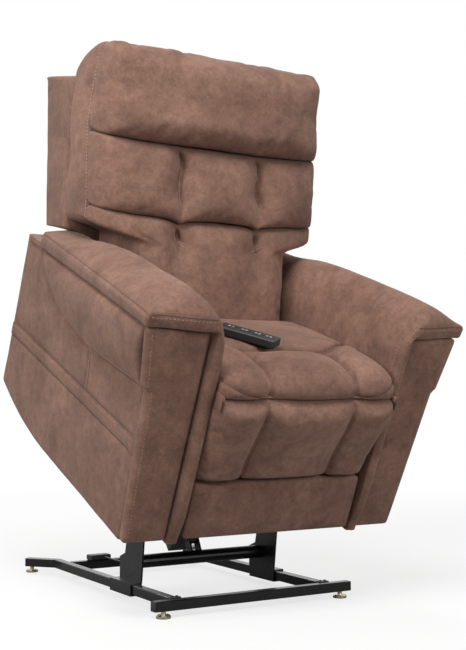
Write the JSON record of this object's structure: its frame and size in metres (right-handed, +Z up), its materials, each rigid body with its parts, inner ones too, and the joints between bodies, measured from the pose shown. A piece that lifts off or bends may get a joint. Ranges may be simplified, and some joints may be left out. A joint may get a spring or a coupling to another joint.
{
  "type": "lift recliner chair",
  "caption": "Powered recliner with padded arms, raised and tipped forward on a low tubular base by a ram and lift arms; backrest reclines, leg rest swings out, handset on the seat.",
  "frame": {"origin": "centre of the bounding box on the floor under the feet, chair lifted", "axes": "+Z up, +X to the right as seen from the front, -Y the way the chair faces"},
  "size_m": [0.9384, 1.2034, 1.5422],
  "materials": {
    "upholstery": "dark brown soft-napped cover, sewn over foam",
    "frame_black": "gloss black powder coat",
    "steel": "zinc-plated steel",
    "foot_steel": "plated steel glide",
    "plywood": "bare plywood, hidden under the upholstery",
    "motor_black": "matt black moulded housing",
    "handset_black": "satin black plastic",
    "key_grey": "soft grey keys",
    "cable_black": "matt black cable jacket"
  },
  "bodies": {
    "base": {"base_front_tube": "frame_black", "base_rear_tube": "frame_black", "base_rail_left": "frame_black", "base_rail_right": "frame_black", "base_mid_tube": "frame_black", "lift_tower_left": "frame_black", "lift_tower_right": "frame_black", "lift_arm_bolt_left": "steel", "lift_arm_bolt_right": "steel", "glide_foot_front_left": "foot_steel", "glide_foot_front_right": "foot_steel", "glide_foot_rear_left": "foot_steel", "glide_foot_rear_right": "foot_steel", "junction_box": "motor_black", "junction_cable": "cable_black"},
    "lift_arms": {"lift_arm_left": "frame_black", "lift_arm_right": "frame_black", "lift_arm_cross_tube": "frame_black"},
    "chair": {"seat_box_side_left": "frame_black", "seat_box_side_right": "frame_black", "seat_hanger_left": "frame_black", "seat_hanger_right": "frame_black", "frame_front_tube": "frame_black", "frame_rear_tube": "frame_black", "seat_deck": "plywood", "seat_cushion": "upholstery", "arm_pad_left": "upholstery", "arm_pad_right": "upholstery", "arm_side_left": "upholstery", "arm_side_right": "upholstery", "arm_front_panel_left": "upholstery", "arm_front_panel_right": "upholstery", "rear_panel": "upholstery", "recline_motor": "motor_black", "leg_rest_motor": "motor_black", "handset": "handset_black"},
    "guide_links": {"guide_link_left": "frame_black", "guide_link_right": "frame_black"},
    "lift_motor_body": {"lift_motor": "motor_black"},
    "lift_ram_body": {"lift_ram": "steel"},
    "backrest": {"back_cushion_lower": "upholstery", "back_cushion_middle": "upholstery", "head_cushion": "upholstery", "back_shell": "upholstery", "back_hinge_bolt_left": "steel", "back_hinge_bolt_right": "steel", "back_crank": "frame_black"},
    "leg_rest": {"leg_rest_pad": "upholstery", "foot_panel": "upholstery", "leg_rest_board": "plywood", "leg_hinge_left": "frame_black", "leg_hinge_right": "frame_black"},
    "recline_ram_body": {"recline_ram": "steel"},
    "leg_rest_ram_body": {"leg_rest_ram": "steel"},
    "key_1": {"handset_key_1": "key_grey"},
    "key_2": {"handset_key_2": "key_grey"},
    "key_3": {"handset_key_3": "key_grey"},
    "key_4": {"handset_key_4": "key_grey"}
  },
  "joints": [
    {"name": "lift_arm", "type": "hinge", "parent": "base", "child": "lift_arms", "pos_m": [0, -0.0086, 0.23], "axis": [1, 0, 0], "range_deg": [-64.71, 0]},
    {"name": "chair_tilt", "type": "hinge", "parent": "lift_arms", "child": "chair", "pos_m": [0, 0.24778, 0.47341], "axis": [1, 0, 0], "range_deg": [-1, 44]},
    {"name": "guide_link", "type": "hinge", "parent": "base", "child": "guide_links", "pos_m": [0, -0.0586, 0.22], "axis": [1, 0, 0], "range_deg": [-69, 1]},
    {"name": "lift_motor_swing", "type": "hinge", "parent": "base", "child": "lift_motor_body", "pos_m": [0, 0.0514, 0.14], "axis": [1, 0, 0], "range_deg": [-53, 1]},
    {"name": "lift_ram_slide", "type": "slide", "parent": "lift_motor_body", "child": "lift_ram_body", "axis": [0, 0.6361, 0.7716], "range_m": [-0.102, 0.001]},
    {"name": "backrest_recline", "type": "hinge", "parent": "chair", "child": "backrest", "pos_m": [0, 0.28936, 0.83337], "axis": [-1, 0, 0], "range_deg": [0, 30]},
    {"name": "leg_rest_swing", "type": "hinge", "parent": "chair", "child": "leg_rest", "pos_m": [0, -0.56488, 0.54656], "axis": [-1, 0, 0], "range_deg": [0, 85]},
    {"name": "recline_ram_slide", "type": "slide", "parent": "chair", "child": "recline_ram_body", "axis": [0, -0.9311, -0.3647], "range_m": [-0.001, 0.063]},
    {"name": "leg_rest_ram_slide", "type": "slide", "parent": "chair", "child": "leg_rest_ram_body", "axis": [0, -0.9311, -0.3647], "range_m": [-0.001, 0.27]},
    {"name": "key_1_press", "type": "slide", "parent": "chair", "child": "key_1", "axis": [0, 0.3647, -0.9311], "range_m": [0, 0.0012], "stiffness_N_per_m": 600},
    {"name": "key_2_press", "type": "slide", "parent": "chair", "child": "key_2", "axis": [0, 0.3647, -0.9311], "range_m": [0, 0.0012], "stiffness_N_per_m": 600},
    {"name": "key_3_press", "type": "slide", "parent": "chair", "child": "key_3", "axis": [0, 0.3647, -0.9311], "range_m": [0, 0.0012], "stiffness_N_per_m": 600},
    {"name": "key_4_press", "type": "slide", "parent": "chair", "child": "key_4", "axis": [0, 0.3647, -0.9311], "range_m": [0, 0.0012], "stiffness_N_per_m": 600}
  ],
  "couplings": [
    {"joint": "chair_tilt", "follows": "lift_arm", "ratio": -0.6695},
    {"joint": "guide_link", "follows": "lift_arm", "ratio": 1.0561},
    {"joint": "lift_motor_swing", "follows": "lift_arm", "ratio": 0.80625},
    {"joint": "lift_ram_slide", "follows": "lift_arm", "m_per_rad": 0.08939},
    {"joint": "recline_ram_slide", "follows": "backrest_recline", "m_per_rad": 0.1186},
    {"joint": "leg_rest_ram_slide", "follows": "leg_rest_swing", "m_per_rad": 0.18125}
  ]
}
